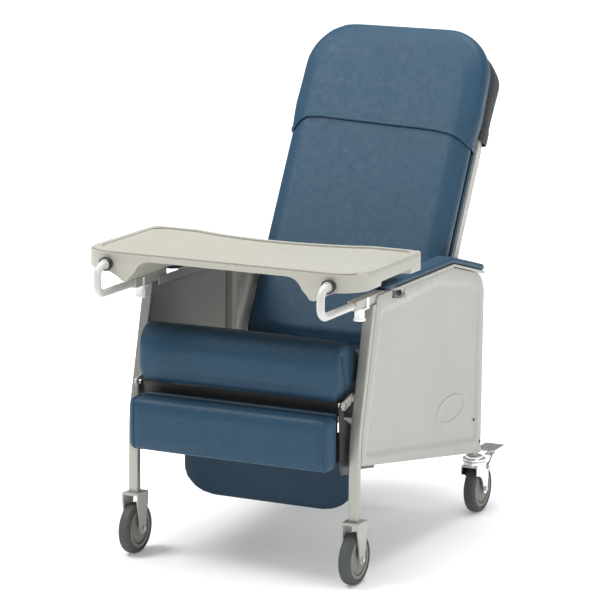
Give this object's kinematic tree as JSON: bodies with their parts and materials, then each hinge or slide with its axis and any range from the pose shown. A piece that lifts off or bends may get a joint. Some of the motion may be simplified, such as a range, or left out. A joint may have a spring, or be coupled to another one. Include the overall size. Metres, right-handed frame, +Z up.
{
  "type": "patient recliner chair",
  "caption": "Reclining hospital chair on castors with padded back, seat, leg rest and armrests, moulded side panels and a removable lap tray.",
  "frame": {"origin": "on the floor, under the middle of the overall box", "axes": "+Z up, the sitter faces -Y, +X is the sitter's left"},
  "size_m": [0.74, 1.1764, 1.2438],
  "materials": {
    "leg_metal": "satin",
    "frame_paint": "satin",
    "panel_plastic": "fine grain",
    "dark_steel": "satin",
    "vinyl": "soft vinyl with a fine grain",
    "dark_vinyl": "soft vinyl",
    "white_plastic": "gloss",
    "board": "dark board",
    "zinc_steel": "satin",
    "caster_chrome": "polished",
    "tyre": "matte",
    "hub_plastic": "matte",
    "tray_plastic": "satin",
    "arm_paint": "satin",
    "black_rubber": "matte"
  },
  "bodies": {
    "base": {"front_legs": "leg_metal", "rear_posts": "frame_paint", "lower_rails": "frame_paint", "arm_rails": "frame_paint", "rail_mouths": "frame_paint", "side_struts": "frame_paint", "rear_gussets": "frame_paint", "cross_tubes": "frame_paint", "seat_rails": "dark_steel", "side_panel_left": "panel_plastic", "side_panel_right": "panel_plastic", "panel_screws": "dark_steel", "panel_feet": "dark_steel", "arm_plates": "panel_plastic", "arm_pad_left": "vinyl", "arm_pad_right": "vinyl", "socket_inserts": "white_plastic", "tray_sockets": "frame_paint", "clamp_shoes": "white_plastic", "seat_cushion": "vinyl", "seat_board": "board", "recline_pins": "zinc_steel", "legrest_brackets": "frame_paint", "legrest_pins": "zinc_steel", "front_forks": "frame_paint", "front_bolts": "zinc_steel", "caster_cups": "caster_chrome"},
    "front_wheel_left": {"front_tyre_left": "tyre", "front_hub_left": "hub_plastic"},
    "front_wheel_right": {"front_tyre_right": "tyre", "front_hub_right": "hub_plastic"},
    "caster_left": {"caster_fork_left": "caster_chrome", "caster_pins_left": "zinc_steel"},
    "caster_right": {"caster_fork_right": "caster_chrome", "caster_pins_right": "zinc_steel"},
    "rear_wheel_left": {"rear_tyre_left": "tyre", "rear_hub_left": "hub_plastic"},
    "rear_wheel_right": {"rear_tyre_right": "tyre", "rear_hub_right": "hub_plastic"},
    "pedal_left": {"brake_pedal_left": "caster_chrome"},
    "pedal_right": {"brake_pedal_right": "caster_chrome"},
    "back": {"back_cushion": "vinyl", "back_board": "vinyl", "back_frame": "frame_paint", "back_brackets": "frame_paint", "push_handle": "dark_steel", "cover_front": "vinyl", "cover_rear": "dark_vinyl"},
    "legrest": {"legrest_plates": "dark_steel", "calf_pad": "vinyl", "calf_board": "vinyl", "foot_hinges": "zinc_steel"},
    "footboard": {"foot_arms": "dark_steel", "foot_board": "board", "foot_pad": "vinyl"},
    "tray": {"tray": "tray_plastic", "tray_arms": "arm_paint", "grommets": "black_rubber"},
    "knob_left": {"clamp_knob_left": "white_plastic"},
    "knob_right": {"clamp_knob_right": "white_plastic"}
  },
  "joints": [
    {"name": "front_wheel_left_spin", "type": "hinge", "parent": "base", "child": "front_wheel_left", "pos_m": [0.2987, -0.38818, 0.0635], "axis": [1, 0, 0], "continuous": true},
    {"name": "caster_left_swivel", "type": "hinge", "parent": "base", "child": "caster_left", "pos_m": [0.297, 0.34082, 0.135], "axis": [0, 0, 1], "continuous": true},
    {"name": "rear_wheel_left_spin", "type": "hinge", "parent": "caster_left", "child": "rear_wheel_left", "pos_m": [0.297, 0.36782, 0.0635], "axis": [1, 0, 0], "continuous": true},
    {"name": "brake_pedal_left_tilt", "type": "hinge", "parent": "caster_left", "child": "pedal_left", "pos_m": [0.297, 0.38082, 0.118], "axis": [-1, 0, 0], "range_deg": [0, 8]},
    {"name": "front_wheel_right_spin", "type": "hinge", "parent": "base", "child": "front_wheel_right", "pos_m": [-0.2987, -0.38818, 0.0635], "axis": [1, 0, 0], "continuous": true},
    {"name": "caster_right_swivel", "type": "hinge", "parent": "base", "child": "caster_right", "pos_m": [-0.297, 0.34082, 0.135], "axis": [0, 0, 1], "continuous": true},
    {"name": "rear_wheel_right_spin", "type": "hinge", "parent": "caster_right", "child": "rear_wheel_right", "pos_m": [-0.297, 0.36782, 0.0635], "axis": [1, 0, 0], "continuous": true},
    {"name": "brake_pedal_right_tilt", "type": "hinge", "parent": "caster_right", "child": "pedal_right", "pos_m": [-0.297, 0.38082, 0.118], "axis": [-1, 0, 0], "range_deg": [0, 8]},
    {"name": "back_recline", "type": "hinge", "parent": "base", "child": "back", "pos_m": [0, 0.12082, 0.44], "axis": [-1, 0, 0], "range_deg": [0, 45]},
    {"name": "legrest_lift", "type": "hinge", "parent": "base", "child": "legrest", "pos_m": [0, -0.41118, 0.44], "axis": [-1, 0, 0], "range_deg": [0, 80]},
    {"name": "footboard_fold", "type": "hinge", "parent": "legrest", "child": "footboard", "pos_m": [0, -0.39318, 0.29], "axis": [-1, 0, 0], "range_deg": [0, 90]},
    {"name": "tray_slide", "type": "slide", "parent": "base", "child": "tray", "axis": [0, -1, 0], "range_m": [0, 0.11]},
    {"name": "clamp_knob_left_turn", "type": "hinge", "parent": "base", "child": "knob_left", "pos_m": [0.2948, -0.36618, 0.645], "axis": [0, 0, 1], "continuous": true},
    {"name": "clamp_knob_right_turn", "type": "hinge", "parent": "base", "child": "knob_right", "pos_m": [-0.2948, -0.36618, 0.645], "axis": [0, 0, 1], "continuous": true}
  ],
  "couplings": [
    {"joint": "legrest_lift", "follows": "back_recline", "ratio": 1.7778},
    {"joint": "footboard_fold", "follows": "back_recline", "ratio": 2}
  ]
}
